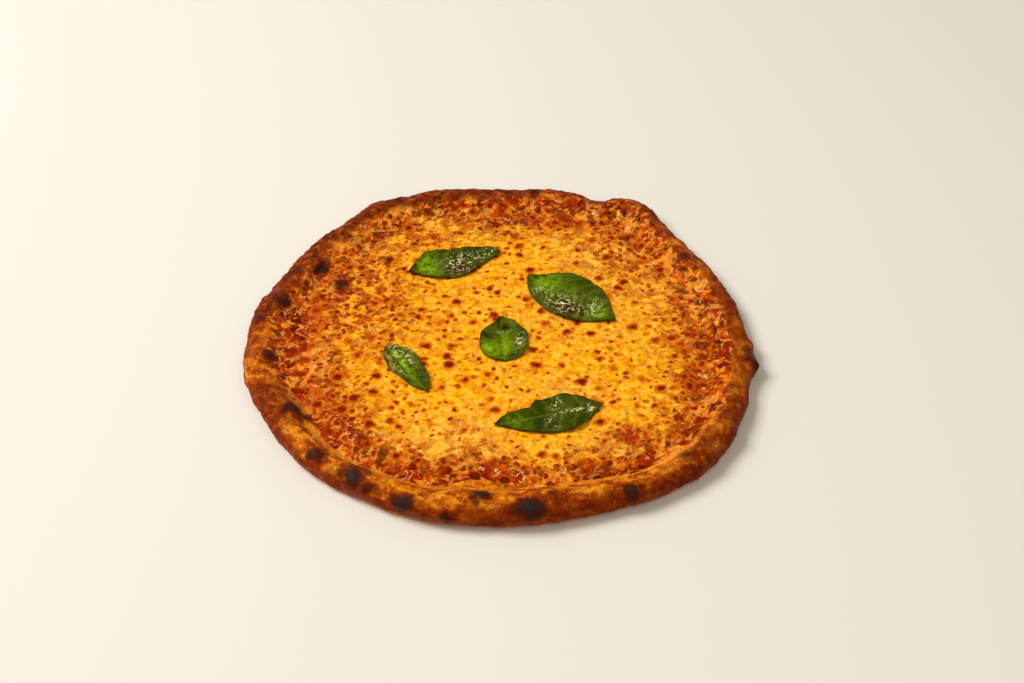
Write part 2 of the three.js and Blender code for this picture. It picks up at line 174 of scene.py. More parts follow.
# Zones of the cheese: (x, y, reach along x, reach along y, strength).
CREAM_ZONES = [
    (-28, -86, 30, 16, 0.7), (62, 84, 24, 18, 0.7), (-93, 98, 12, 13, 1.0), (70, -100, 30, 14, 0.6),
    (-50, 124, 12, 7, 1.0), (100, 45, 18, 22, 0.6), (-20, -100, 40, 12, 0.6), (60, 30, 50, 30, 0.3),
    (45, -52, 22, 12, 0.6),
]
YELLOW_ZONES = [
    (25, -5, 34, 30, 1.0), (-5, 112, 26, 12, 0.8), (-70, -60, 26, 24, 0.5), (-60, -10, 40, 40, 0.3),
]
TOASTED_ZONES = [
    (-98, 40, 40, 60, 1.0), (92, 92, 42, 40, 1.0), (122, 0, 20, 44, 1.0), (88, -98, 30, 20, 0.6),
    (-92, -78, 24, 28, 1.0), (-60, 104, 40, 20, 0.8), (15, 126, 60, 10, 0.8), (-20, -120, 60, 10, 0.7),
]
# Where the sauce pools on the cheese, in the same form.
SAUCE_POOLS = [
    (78, -88, 13, 10, 1.0), (-126, 20, 8, 22, 0.8), (-126, -24, 9, 18, 0.9), (-98, -86, 10, 8, 0.8),
    (-31, -117, 20, 5, 0.8), (0, -121, 14, 4, 0.9), (52, -111, 12, 5, 0.8), (5, 131, 26, 6, 0.7),
    (55, -100, 8, 4, 0.7), (-92, -62, 12, 10, 0.6), (122, 10, 7, 20, 0.55), (92, 98, 20, 10, 0.5),
]


def bulges(spots, angle):
    """The sum of smooth bulges at each angle."""
    total = np.zeros_like(angle)
    for at, spread, by in spots:
        apart = (angle - at + 540) % 360 - 180
        total += by * np.exp(-((apart / spread) ** 2) / 2)
    return total


def handmade(angle, phase):
    """The small unevenness of dough shaped by hand: 7, 13 and 23 waves a turn."""
    turn = np.radians(angle)
    return np.sin(7 * turn + phase) + 0.7 * np.sin(13 * turn + 2 * phase) + 0.5 * np.sin(23 * turn - phase)


def rim_radius(angle):
    return RIM_RADIUS + bulges(OUTLINE_BULGES, angle) + 0.5 * handmade(angle, 1.1)


def rim_width(angle):
    return RIM_WIDTH + bulges(WIDTH_BULGES, angle) + 0.6 * handmade(angle, 2.3)


def rim_height(angle):
    return RIM_HEIGHT + bulges(HEIGHT_BULGES, angle) + 0.4 * handmade(angle, 4.2)


def crease_radius(angle):
    return rim_radius(angle) - rim_width(angle)


def sauce_climb(angle):
    return SAUCE_CLIMB + bulges(CLIMB_BULGES, angle)


def sauce_reach(angle):
    return crease_radius(angle) + sauce_climb(angle) * CREST_SHARE * rim_width(angle)


def cheese_reach(angle):
    return sauce_reach(angle) - CHEESE_SHY - bulges(BARE_SAUCE, angle) + 0.8 * handmade(angle, 0.4)


def mixed_reach(angle):
    return MIXED_STRIP + bulges(MIXED_BULGES, angle)


def smooth(share):
    """A smooth step from 0 to 1."""
    share = np.clip(share, 0, 1)
    return share * share * (3 - 2 * share)


def bread_top(angle, radius):
    """Height of the bread's upper face, from the middle out to the crest."""
    climb = (radius - crease_radius(angle)) / (rim_width(angle) * CREST_SHARE)
    return BASE_HEIGHT + (rim_height(angle) - BASE_HEIGHT) * smooth(climb)


def rim_section(over, width, height, radius):
    """Radius and height of points over a rim of one width, height and radius."""
    crest = radius - width * (1 - CREST_SHARE)
    if over <= 1:
        climb = (height - BASE_HEIGHT) * smooth(over)
        return radius - width + over * width * CREST_SHARE, BASE_HEIGHT + climb
    if over <= 2:
        turn = (over - 1) * math.pi / 2
        drop = (height - WAIST_HEIGHT) * math.cos(turn) ** 0.9
        return crest + (radius - crest) * math.sin(turn), WAIST_HEIGHT + drop
    under = (over - 2) * math.pi / 2
    return radius - TUCK * (1 - math.cos(under)), WAIST_HEIGHT * (1 - math.sin(under))


def polar(points):
    """Angles in degrees and radii of points, seen from above."""
    x, y = points[:, 0], points[:, 1]
    return np.degrees(np.arctan2(y, x)), np.hypot(x, y)


def place_at(angle, radius):
    """The x and y of places given by angle in degrees and radius."""
    return radius * np.cos(np.radians(angle)), radius * np.sin(np.radians(angle))


def rim_point(angle, over):
    """A point on the uneven rim."""
    at = np.array([float(angle)])
    radius, height = rim_section(over, rim_width(at)[0], rim_height(at)[0], rim_radius(at)[0])
    return np.array([*place_at(angle, radius), height])


def linear(hex_colour):
    """An sRGB colour such as #c86a1e as linear red, green, blue and alpha."""
    values = [int(hex_colour[i:i + 2], 16) / 255 for i in (1, 3, 5)]
    return [v / 12.92 if v <= 0.04045 else ((v + 0.055) / 1.055) ** 2.4 for v in values] + [1.0]


def lumps(points, size, octaves, seed):
    """Fractal noise from about -1 to 1 at points in millimetres, with lumps of one size."""
    moved = points / size + 17.3 * seed
    return np.array([noise.fractal(Vector(p), 1.0, 2.0, octaves) for p in moved])


def relief(points, kinds, seed=0):
    """The height of a surface's lumps, from a list of their kinds."""
    return sum(height * lumps(points, size, octaves, own_seed + seed)
               for size, height, octaves, own_seed in kinds)


def pushed_about(points, size, reach, octaves):
    """The points moved at random, so that spots measured from them get ragged edges."""
    return points + reach * np.stack([lumps(points, size, octaves, seed) for seed in (4, 5, 6)], axis=-1)


def bell(apart):
    """1 in the middle, and falling smoothly to nothing at about twice the reach."""
    return np.exp(-apart ** 2)


def from_blister(points, angle, over):
    """Distance of points from the middle of a rim blister, with the way along the rim counting less."""
    apart = points - rim_point(angle, over)
    turn = math.radians(angle)
    lengthways = apart @ np.array([-math.sin(turn), math.cos(turn), 0])
    return np.sqrt(np.sum(apart ** 2, axis=1) - lengthways ** 2 * (1 - 1 / BLISTER_STRETCH ** 2))


def charring(points):
    """How burnt each point is by the large blisters and the burnt places, whose edges are ragged."""
    ragged = pushed_about(points, 4.5, 1.8, 3)
    burn = np.zeros(len(points))
    spots = [(from_blister(ragged, angle, over) / radius, burnt)
             for angle, over, radius, _, burnt in RIM_BLISTERS]
    spots += [(np.hypot(ragged[:, 0] - x, ragged[:, 1] - y) / radius, burnt)
              for x, y, radius, burnt in BURNT_TOPPING]
    for apart, burnt in spots:
        burn = np.maximum(burn, burnt * np.exp(-apart ** 1.9))
    return burn


def flat_points(x, y):
    return np.stack([x, y, np.zeros_like(x)], axis=-1)


def zones(spots, x, y):
    """How far each point lies within soft oval zones, from 0 to 1."""
    most = np.zeros_like(x)
    for at_x, at_y, wide, deep, strength in spots:
        apart = ((x - at_x) / wide) ** 2 + ((y - at_y) / deep) ** 2
        most = np.maximum(most, strength * np.exp(-apart))
    return most


def zone_at(spots, x, y):
    return zones(spots, np.array([x]), np.array([y]))[0]


def drawn(rng, low, high, power=1):
    """A random number between two others, and a higher power draws more of the low ones."""
    return low + (high - low) * rng.random() ** power


def scatter(count, spacing, reach, taken, rng):
    """Places in a disc that keep their spacing from each other and from the places already taken.

    It makes do with fewer than count after thirty tries for each.
    """
    places = list(taken)
    made = []
    for _ in range(30 * count):
        if len(made) == count:
            break
        radius = reach * math.sqrt(rng.random())
        turn = rng.random() * 2 * math.pi
        x, y = radius * math.cos(turn), radius * math.sin(turn)
        if all((x - p[0]) ** 2 + (y - p[1]) ** 2 > spacing ** 2 for p in places):
            places.append((x, y))
            made.append((x, y))
    return made


def deselect():
    bpy.ops.object.select_all(action="DESELECT")


def select_only(piece):
    deselect()
    piece.select_set(True)
    bpy.context.view_layer.objects.active = piece


def vertex_positions(piece):
    """The piece's vertices in millimetres."""
    flat = np.empty(len(piece.data.vertices) * 3)
    piece.data.vertices.foreach_get("co", flat)
    return flat.reshape(-1, 3) / MM


def move_vertices(piece, points):
    piece.data.vertices.foreach_set("co", (points * MM).ravel())
    piece.data.update()


def vertex_normals(piece):
    flat = np.empty(len(piece.data.vertices) * 3)
    piece.data.vertex_normals.foreach_get("vector", flat)
    return flat.reshape(-1, 3)


def store(piece, name, values):
    """Keeps one number for each vertex, for the piece's material to read."""
    attribute = piece.data.attributes.new(name, "FLOAT", "POINT")
    attribute.data.foreach_set("value", np.asarray(values, dtype=np.float32))


def finish_piece(piece, name, material, nodes):
    """Names a finished piece, gives it its material and ties it to the frame."""
    piece.name = name
    piece.data.name = name
    piece.data.materials.clear()
    piece.data.materials.append(material)
    select_only(piece)
    bpy.ops.object.shade_smooth()
    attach(piece, "root")
    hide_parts(*nodes)


def round_body(stations, rings):
    """A closed round body: a disc whose edge is extruded from ring to ring and filled underneath."""
    deselect()
    radius, height = rings[0]
    bpy.ops.mesh.primitive_circle_add(vertices=stations, radius=radius * MM, fill_type="NGON",
                                      location=(0, 0, height * MM))
    bpy.ops.object.transform_apply(location=True, rotation=False, scale=False)
    bpy.ops.object.mode_set(mode="EDIT")
    bpy.ops.mesh.select_mode(type="EDGE")
    bpy.ops.mesh.select_all(action="SELECT")
    for next_radius, next_height in rings[1:]:
        bpy.ops.mesh.extrude_edges_move()
        scale = next_radius / radius
        bpy.ops.transform.resize(value=(scale, scale, 1), center_override=(0, 0, 0))
        bpy.ops.transform.translate(value=(0, 0, (next_height - height) * MM))
        radius, height = next_radius, next_height
    close_underneath()
    return bpy.context.active_object


def close_underneath():
    """Fills the selected open edge, turns all faces outwards and leaves edit mode."""
    bpy.ops.mesh.edge_face_add()
    bpy.ops.mesh.select_all(action="SELECT")
    bpy.ops.mesh.normals_make_consistent(inside=False)
    bpy.ops.object.mode_set(mode="OBJECT")


def round_sheet(cells, reach, top, foot):
    """A layer with an uneven edge: a square grid is rounded into a disc, raised, and closed underneath."""
    foot_height, foot_share = foot
    deselect()
    bpy.ops.mesh.primitive_grid_add(x_subdivisions=cells, y_subdivisions=cells, size=2)
    piece = bpy.context.active_object
    square = vertex_positions(piece) * MM
    x = square[:, 0] * np.sqrt(1 - square[:, 1] ** 2 / 2)
    y = square[:, 1] * np.sqrt(1 - square[:, 0] ** 2 / 2)
    angle, share = polar(flat_points(x, y))
    radius = share * reach(angle)
    points = flat_points(*place_at(angle, radius))
    points[:, 2] = top(angle, radius, points)
    move_vertices(piece, points)
    bpy.ops.object.mode_set(mode="EDIT")
    bpy.ops.mesh.select_mode(type="EDGE")
    bpy.ops.mesh.select_all(action="DESELECT")
    bpy.ops.mesh.select_non_manifold()
    bpy.ops.mesh.extrude_edges_move()
    foot_place = (0, 0, (BASE_HEIGHT + foot_height) * MM)
    bpy.ops.transform.resize(value=(foot_share, foot_share, 0), center_override=foot_place)
    close_underneath()
    return piece


def add_node(tree, kind, inputs=None, **settings):
    """Adds a node, makes its settings, and fills or links its inputs."""
    node = tree.nodes.new(kind)
    for name, value in settings.items():
        setattr(node, name, value)
    for socket, value in (inputs or {}).items():
        if isinstance(value, bpy.types.NodeSocket):
            tree.links.new(value, node.inputs[socket])
        else:
            node.inputs[socket].default_value = value
    return node


class Painter:
    """Makes one material: its patterns, sized in millimetres, its layers of colour and its shader.

    A pattern's value is given as a number or as it is, by the name that a piece stores it under, or as a
    tuple that stretches another: (value, low, high, most, least) rises smoothly from least, or else 0, to
    most, or else 1, as the value goes from low to high. Low may be above high.
    """

    def __init__(self, name):
        self.material = bpy.data.materials.new(name)
        self.material.use_nodes = True
        self.tree = self.material.node_tree
        self.tree.nodes.clear()
        self.place = add_node(self.tree, "ShaderNodeTexCoord").outputs["Object"]

    def warp(self, place, size, reach):
        """A place pushed about at random, so that round cells come out ragged."""
        push = add_node(self.tree, "ShaderNodeTexNoise", {
            "Vector": place, "Scale": 1 / (size * MM), "Detail": 2,
        })
        away = 2 * reach * MM
        return add_node(self.tree, "ShaderNodeVectorMath", {
            0: push.outputs["Color"], 1: (away, away, away), 2: place,
        }, operation="MULTIPLY_ADD").outputs[0]

    def noise(self, size, detail, rough, seed, place=None):
        """Cloudy noise, mostly from 0.35 to 0.65, with lumps of one size and finer ones as detail."""
        moved = add_node(self.tree, "ShaderNodeMapping", {
            "Vector": place or self.place, "Location": (seed, seed, seed),
        })
        return add_node(self.tree, "ShaderNodeTexNoise", {
            "Vector": moved.outputs[0], "Scale": 1 / (size * MM), "Detail": detail, "Roughness": rough,
        }).outputs[0]

    def spots(self, spacing, share, seed, place):
        """Scattered spots, 1 in their middles; share is the largest spot's radius over the spacing."""
        moved = add_node(self.tree, "ShaderNodeMapping", {"Vector": place, "Location": (seed, seed, seed)})
        cells = add_node(self.tree, "ShaderNodeTexVoronoi", {
            "Vector": moved.outputs[0], "Scale": 1 / (spacing * MM),
        }, voronoi_dimensions="2D")
        chance = add_node(self.tree, "ShaderNodeSeparateXYZ", {0: cells.outputs["Color"]}).outputs[0]
        radius = (chance, 0.0, 1.0, share, 0.15 * share)
        return self.value((self.combine("DIVIDE", cells.outputs["Distance"], radius), 1.2, 0.7))

    def cracks(self, spacing, width, place):
        """A net of thin lines: 1 along the lines, whose width is in millimetres."""
        cells = add_node(self.tree, "ShaderNodeTexVoronoi", {"Vector": place, "Scale": 1 / (spacing * MM)},
                         feature="DISTANCE_TO_EDGE")
        return self.value((cells.outputs["Distance"], width / spacing, 0.5 * width / spacing))

    def charred_with_sheen(self, colour, unevenness):
        """A colour that turns brown, dark brown and then black with a painted bluish-grey sheen as the
        stored burn rises.
        """
        char = self.roughened("burn", unevenness, 1.1)
        return self.layers(colour, [
            ("#702204", (char, 0.14, 0.42, 0.85)),
            ("#3c1408", (char, 0.36, 0.62, 0.88)),
            # The bluish grey of the blackest char is painted sheen.
            ("#1f2227", (char, 0.56, 0.95, 0.94)),
        ])

    def shreds(self, place, width, longer, seed):
        """Short strands that lie three ways, like grated cheese that has melted: 1 in their middles."""
        most = 0.0
        for turn in (20, 75, 140):
            lying = add_node(self.tree, "ShaderNodeMapping", {
                "Vector": place, "Rotation": (0, 0, math.radians(turn)), "Scale": (longer, 1, 1),
            }, vector_type="TEXTURE")
            strands = self.noise(2 * width, 1, 0.5, seed + turn, lying.outputs[0])
            most = self.combine("MAXIMUM", strands, most)
        return self.value((most, 0.6, 0.7))

    def threads_and_glints(self, place):
        """A few short thin curved lines, like strands of cheese pulled out and painted glints of oil: 1
        along the lines.
        """
        from_middle = self.combine("SUBTRACT", self.noise(8.0, 2, 0.5, 14, place), 0.5)
        line = self.combine("ABSOLUTE", from_middle, 0.0)
        here = self.noise(10.0, 1, 0.5, 15, place)
        return self.combine("MULTIPLY", (line, 0.018, 0.006), (here, 0.6, 0.64))

    def baked_mix(self, place, redness):
        """Sauce and fat baked together, which runs over the cheese's edge, the sauce and the rim's foot."""
        coarse = self.noise(14, 2, 0.5, 25, place)
        curd = self.noise(7.0, 3, 0.5, 5, place)
        fat = self.noise(5.4, 2, 0.5, 6, place)
        return self.layers(linear("#c65606"), [
            ("#a81c03", redness),
            ("#ee9412", (fat, 0.5, 0.64, 0.85)),
            ("#8a1a03", (coarse, 0.52, 0.38, 0.8)),
            ("#7a1603", (curd, 0.53, 0.41, 0.88)),
            ("#540e03", self.spots(9.0, 0.4, 2, place), 0.88),
            ("#f2a238", (coarse, 0.56, 0.66, 0.5)),
            ("#f0a03a", self.shreds(place, 1.8, 3, 50), 0.6),
            # Pale strands of cheese, which also stand in for painted glints of oil.
            ("#ffd48c", self.threads_and_glints(place), 0.7),
        ])

    def value(self, given):
        """The value that something given stands for."""
        if isinstance(given, str):
            return add_node(self.tree, "ShaderNodeAttribute", attribute_name=given).outputs["Fac"]
        if not isinstance(given, tuple):
            return given
        other, low, high, *ends = given
        most = ends[0] if ends else 1.0
        least = ends[1] if len(ends) > 1 else 0.0
        return add_node(self.tree, "ShaderNodeMapRange", {
            "Value": self.value(other), "From Min": low, "From Max": high, "To Min": least, "To Max": most,
        }, interpolation_type="SMOOTHSTEP").outputs[0]

    def combine(self, operation, first, *others):
        """Values put together one after another, such as added or multiplied."""
        total = self.value(first)
        for other in others:
            total = add_node(self.tree, "ShaderNodeMath", {0: total, 1: self.value(other)},
                             operation=operation).outputs[0]
        return total

    def roughened(self, given, uneven, reach):
        """A value that wanders up and down by a noise, so that its edge comes out ragged."""
        wander = self.combine("MULTIPLY", self.combine("SUBTRACT", uneven, 0.5), reach)
        return self.combine("ADD", given, wander)

    def layers(self, colour, coats):
        """A colour under coats: each is (colour, and values whose product is how much of it there is)."""
        for coat, *factors in coats:
            over = linear(coat) if isinstance(coat, str) else coat
            amount = self.combine("MULTIPLY", *factors)
            colour = add_node(self.tree, "ShaderNodeMix", {0: amount, 6: colour, 7: over},
                              data_type="RGBA").outputs[2]
        return colour

    def surface(self, inputs, relief=()):
        """Ends the material with its shader and its relief, coarse to fine: (value, depth, strength)."""
        inputs = {name: self.value(given) for name, given in inputs.items()}
        for height, depth, strength in relief:
            below = {"Normal": inputs["Normal"]} if "Normal" in inputs else {}
            inputs["Normal"] = add_node(self.tree, "ShaderNodeBump", {
                "Height": height, "Distance": depth * MM, "Strength": strength, **below,
            }).outputs[0]
        shader = add_node(self.tree, "ShaderNodeBsdfPrincipled", inputs)
        add_node(self.tree, "ShaderNodeOutputMaterial", {"Surface": shader.outputs[0]})
        return self.material


def colour_setting(name, description, hex_colour):
    return FloatVectorProperty(name=name, description=description, default=linear(hex_colour), size=4,
                               subtype="COLOR", min=0, max=1)


class BreadSettings(PropertyGroup):
    """The baked dough."""
    stations: IntProperty(name="Stations", description="Points round the rim", default=1040)
    rings: IntProperty(name="Rings", description="Rings of points over the rim", default=62)
    golden: colour_setting("Golden crust", "Colour where the dough is lightly baked", "#d47006")


class SauceSettings(PropertyGroup):
    """The tomato sauce."""
    cells: IntProperty(name="Cells", description="Grid cells across the sauce", default=210)


class CheeseSettings(PropertyGroup):
    """The melted mozzarella."""
    cells: IntProperty(name="Cells", description="Grid cells across the cheese", default=306)
    yellow: colour_setting("Melted cheese", "Colour of cheese that has not browned", "#ffb606")


class PIZZA_OT_crust(Operator):
    """Make the dough: an even ring extruded ring by ring, pulled to its uneven outline and blistered."""
    bl_idname = "pizza.crust"
    bl_label = "Bake the crust"

    def execute(self, context):
        settings = context.scene.pizza_bread
        rings = [(radius, BASE_HEIGHT) for radius in BASE_RINGS]
        for over in np.linspace(0, 3, settings.rings):
            rings.append(rim_section(over, RIM_WIDTH, RIM_HEIGHT, RIM_RADIUS))
        piece = round_body(settings.stations, rings)
        over = pull_rim(piece)
        dome = blister_rim(piece, over)
        store(piece, "burn", charring(vertex_positions(piece)))
        store(piece, "dome", dome)
        store_along_rim(piece, over)
        finish_piece(piece, "baked_crust", crust_material(settings), ["crust"])
        return {"FINISHED"}


def pull_rim(piece):
    """Stretches the even ring to the uneven outline, and returns how far over the rim each point lies."""
    points = vertex_positions(piece)
    angle, radius = polar(points)
    height = points[:, 2]
    across = (radius - EVEN_CREASE) / RIM_WIDTH
    over = over_even_rim(across, height)
    pulled = np.where(across > 0, crease_radius(angle) + across * rim_width(angle),
                      radius * crease_radius(angle) / EVEN_CREASE)
    lift = (rim_height(angle) - BASE_HEIGHT) / (RIM_HEIGHT - BASE_HEIGHT)
    points[:, 2] = np.where(height > BASE_HEIGHT, BASE_HEIGHT + (height - BASE_HEIGHT) * lift, height)
    points[:, 0], points[:, 1] = place_at(angle, pulled)
    move_vertices(piece, points)
    return over


def over_even_rim(across, height):
    """How far over the even rim points lie, by their share of its width and their height.

    A point less than a hair below a height counts as at it.
    """
    hair = 0.01
    inner = np.clip(across / CREST_SHARE, 0, 1)
    outer = 1 + np.arcsin(np.clip((across - CREST_SHARE) / (1 - CREST_SHARE), 0, 1)) * 2 / math.pi
    under = 2 + np.clip(1 - height / WAIST_HEIGHT, 0, 1)
    over = np.where(across <= CREST_SHARE, inner, np.where(height >= WAIST_HEIGHT - hair, outer, under))
    return np.where((height < BASE_HEIGHT - hair) & (across < 1), under, over)


def blister_rim(piece, over):
    """Swells the soft lumps, folds and blisters, and returns where the small blisters are."""
    points = vertex_positions(piece)
    angle, _ = polar(points)
    folds = np.sin(2 * math.pi * FOLDS["per_degree"] * angle + 3 * lumps(points, 12, 2, 7))
    gathered = bulges([(FOLDS["at"], FOLDS["spread"], FOLDS["height"])], angle)
    swell = relief(points, RIM_LUMPS) + folds * gathered * smooth((2 - over) / 0.7)
    for at, where, radius, height, _ in RIM_BLISTERS:
        swell += 0.7 * height * bell(from_blister(points, at, where) / radius)
    crowd, dome = small_rim_blisters(points)
    free = smooth((over - sauce_climb(angle)) / 0.2) * smooth((2.9 - over) / 0.5)
    move_vertices(piece, points + vertex_normals(piece) * ((swell + crowd) * free)[:, None])
    return dome


def small_rim_blisters(points):
    """How far the crowd of small blisters swells each point, and how far up one each point lies."""
    kind = SMALL_RIM_BLISTERS
    rng = np.random.default_rng(5)
    ragged = pushed_about(points, 4, 1.6, 2)
    swell = np.zeros(len(points))
    dome = np.zeros(len(points))
    for _ in range(kind["count"]):
        middle = rim_point(drawn(rng, 0, 360), drawn(rng, *kind["over"]))
        radius = drawn(rng, *kind["radius"], power=2)
        apart = np.linalg.norm(ragged - middle, axis=1) / radius
        shape = np.where(apart < 1, (1 - apart ** 2) ** 2, 0)
        swell += kind["height"] * radius * shape * drawn(rng, 0.5, 1.5)
        dome = np.maximum(dome, shape * drawn(rng, 0.4, 1.0))
    return swell, dome


def store_along_rim(piece, over):
    """Keeps the pale foot and painted light strip, how brown and even the rim is, and where sauce splashed
    it.
    """
    points = vertex_positions(piece)
    angle, _ = polar(points)
    above = over - np.maximum(sauce_climb(angle), 0.05) - PALE_STRIP["wander"] * lumps(points, 9, 2, 8)
    # The strip is painted light on the lit edge of the inner slope; the foot is paler, less baked dough.
    strip = bulges(PAINTED_LIGHT_STRIP, angle) * bell((above - PALE_STRIP["above"]) / PALE_STRIP["width"])
    foot = PALE_FOOT["strength"] * bell((over - PALE_FOOT["over"]) / PALE_FOOT["width"])
    store(piece, "pale_foot_and_lit_strip", np.clip(strip + foot, 0, 1))
    store(piece, "browned", np.clip(bulges(BROWNED, angle) + 0.5 * lumps(points, 22, 2, 9), 0, 1))
    store(piece, "even", bulges(EVENLY_BAKED, angle))
    store(piece, "wall", over / 3 + bulges(DEEP_WALL, angle))
    wrinkled = np.stack([*place_at(angle, RIM_RADIUS), 40 * over], axis=-1)
    store(piece, "streak", 0.5 + 0.5 * lumps(wrinkled, 9, 3, 13))
    reach = sauce_climb(angle) + bulges(SPLASH, angle) + 0.14 * lumps(points, 7, 3, 12)
    store(piece, "splash", smooth((reach - over) / 0.3))


def crust_material(settings):
    """Oven-baked wheat dough: golden to brown, mottled, charred on its blisters and a little oily."""
    paint = Painter("oven_baked_dough")
    warped = paint.warp(paint.place, 6, 1.8)
    clouds = paint.noise(15, 3, 0.5, 3, warped)
    patches = paint.noise(7.5, 3, 0.55, 6, warped)
    mottle = paint.noise(4.4, 3, 0.6, 9, warped)
    fine = paint.noise(1.6, 2, 0.5, 4)
    browned = paint.roughened("browned", clouds, 1.6)
    wall = paint.roughened("wall", patches, 0.35)
    colour = paint.layers(list(settings.golden), [
        ("#a44205", (clouds, 0.42, 0.56, 0.8)),
        ("#f2961a", (patches, 0.52, 0.64, 0.55)),
        ("#8e3204", (patches, 0.49, 0.37, 0.7)),
        ("#f7a428", ("streak", 0.56, 0.72, 0.6)),
        ("#842a04", ("streak", 0.43, 0.28, 0.7)),
        ("#f09428", (fine, 0.54, 0.66, 0.4)),
        ("#7c2804", (fine, 0.46, 0.34, 0.4)),
        ("#6e1c04", (browned, 0.05, 0.7, 0.88)),
        ("#762004", (wall, 0.45, 0.6, 0.84)),
        ("#d87010", (mottle, 0.54, 0.64), (wall, 0.45, 0.6, 0.2, 0.4)),
        ("#500e02", (mottle, 0.48, 0.38, 0.45)),
        ("#30120c", (patches, 0.49, 0.41), (browned, 0.5, 0.9, 0.65)),
        ("#8e3a02", "even", (wall, 0.62, 0.45, 0.6, 0.1)),
        ("#8a3004", "dome", 0.3),
        (paint.baked_mix(warped, 0.3), "splash"),
        # A pale foot of less baked dough, and a strip of painted light on the lit edge of the inner slope.
        ("#fca02c", "pale_foot_and_lit_strip", (mottle, 0.36, 0.56, 0.95, 0.5)),
    ])
    return paint.surface({
        "Base Color": paint.charred_with_sheen(colour, patches), "Roughness": (clouds, 0.35, 0.65, 0.65, 0.45),
        "IOR": 1.45, "Specular IOR Level": 0.15, "Specular Tint": linear("#ff9a48"),
    }, relief=[(patches, 1.2, 0.6), (mottle, 0.9, 0.7), (fine, 0.3, 0.6)])


class PIZZA_OT_sauce(Operator):
    """Spread the tomato sauce over the dough, up to the foot of the rim."""
    bl_idname = "pizza.sauce"
    bl_label = "Spread the sauce"

    def execute(self, context):
        piece = round_sheet(context.scene.pizza_sauce.cells, sauce_reach, sauce_top, SAUCE_FOOT)
        store(piece, "burn", charring(vertex_positions(piece)))
        finish_piece(piece, "spread_tomato_sauce", sauce_material(), ["tomato_sauce"])
        return {"FINISHED"}


def sauce_level(angle, radius):
    """Height of the sauce without its lumps."""
    thinning = np.clip((sauce_reach(angle) - radius) / SAUCE_EDGE, 0, 1)
    return bread_top(angle, radius) - SAUCE_DIP + (SAUCE_DIP + SAUCE_THICKNESS) * np.sqrt(thinning)


def sauce_top(angle, radius, points):
    return sauce_level(angle, radius) + relief(points, SAUCE_LUMPS)


def sauce_material():
    """Cooked tomato sauce mixed with melted fat: oily, red-orange with darker pulp."""
    paint = Painter("cooked_tomato_sauce")
    warped = paint.warp(paint.place, 7, 2.2)
    pulp = paint.noise(4.6, 4, 0.6, 2, warped)
    flecks = paint.noise(1.7, 3, 0.6, 8)
    mix = paint.baked_mix(warped, (pulp, 0.62, 0.42, 0.8, 0.2))
    return paint.surface({
        "Base Color": paint.charred_with_sheen(mix, pulp), "Roughness": 0.45,
        "IOR": 1.4, "Specular IOR Level": 0.14, "Specular Tint": linear("#ff9038"),
    }, relief=[(pulp, 1.2, 0.8), (flecks, 0.4, 0.6)])


class PIZZA_OT_cheese(Operator):
    """Melt the mozzarella over the sauce, with its browned blisters in relief."""
    bl_idname = "pizza.cheese"
    bl_label = "Melt the mozzarella"

    def execute(self, context):
        settings = context.scene.pizza_cheese
        spots = cheese_blisters()

        def top(angle, radius, points):
            return cheese_top(angle, radius, points, spots)

        piece = round_sheet(settings.cells, cheese_sheet_reach, top, CHEESE_FOOT)
        paint_cheese(piece, spots)
        finish_piece(piece, "melted_mozzarella", cheese_material(settings), ["mozzarella"])
        return {"FINISHED"}


def cheese_blisters():
    """Every browned blister as (x, y, radius, height, how brown)."""
    rng = np.random.default_rng(8)
    blisters = [(x, y, BROWN_SHARE * radius, 0.3 + 0.06 * radius, 1.0)
                for x, y, radius in LARGE_CHEESE_BLISTERS]
    taken = list(blisters)
    crowds = []
    for kind in SMALLER_CHEESE_BLISTERS:
        places = scatter(kind["count"], kind["spacing"], kind["reach"], taken, rng)
        crowds.append([place for place in places if zone_at(TOASTED_ZONES, *place) >= kind["toasted"]])
        taken += crowds[-1]
    for kind, places in zip(SMALLER_CHEESE_BLISTERS, crowds):
        for x, y in places:
            pale = max(zone_at(YELLOW_ZONES, x, y), zone_at(CREAM_ZONES, x, y))
            crowding = 0.75 + 0.9 * noise.noise(Vector((x / 14, y / 14, 2.0)))
            if rng.random() > (1 - kind["shy"] * pale) * np.clip(crowding, 0.3, 1):
                continue
            radius = drawn(rng, *kind["radius"], power=1.6)
            blisters.append((x, y, radius, drawn(rng, 0, 0.12 * radius), drawn(rng, 0.5, 1.0)))
    return blisters


def cheese_cover(angle, radius, points):
    """How far inside the cheese's ragged edge a point lies, in millimetres."""
    return cheese_reach(angle) + 0.5 - radius + relief(points * [1, 1, 0], CHEESE_EDGE_LUMPS)


def cheese_sheet_reach(angle):
    """The cheese runs out thin under the sauce, a little past its ragged edge."""
    return np.minimum(cheese_reach(angle) + 3, sauce_reach(angle) - 1)


def cheese_top(angle, radius, points, spots):
    """Height of the cheese: thin and ragged at its edge, lumpy, and domed at each blister."""
    cover = np.clip(cheese_cover(angle, radius, points) / CHEESE_EDGE, 0, 1)
    thinning = cover ** 0.7
    height = sauce_level(angle, radius) + CHEESE_THICKNESS * thinning - CHEESE_SINK * (1 - cover) ** 3
    height += thinning * relief(points, CHEESE_LUMPS)
    height -= CHEESE_SINK * thinning * zones(SAUCE_POOLS, points[:, 0], points[:, 1])
    for x, y, size, lift, _ in spots:
        apart = np.hypot(points[:, 0] - x, points[:, 1] - y) / (1.4 * size)
        near = apart < 1
        height[near] += thinning[near] * lift * (1 - apart[near] ** 2) ** 2
    return height


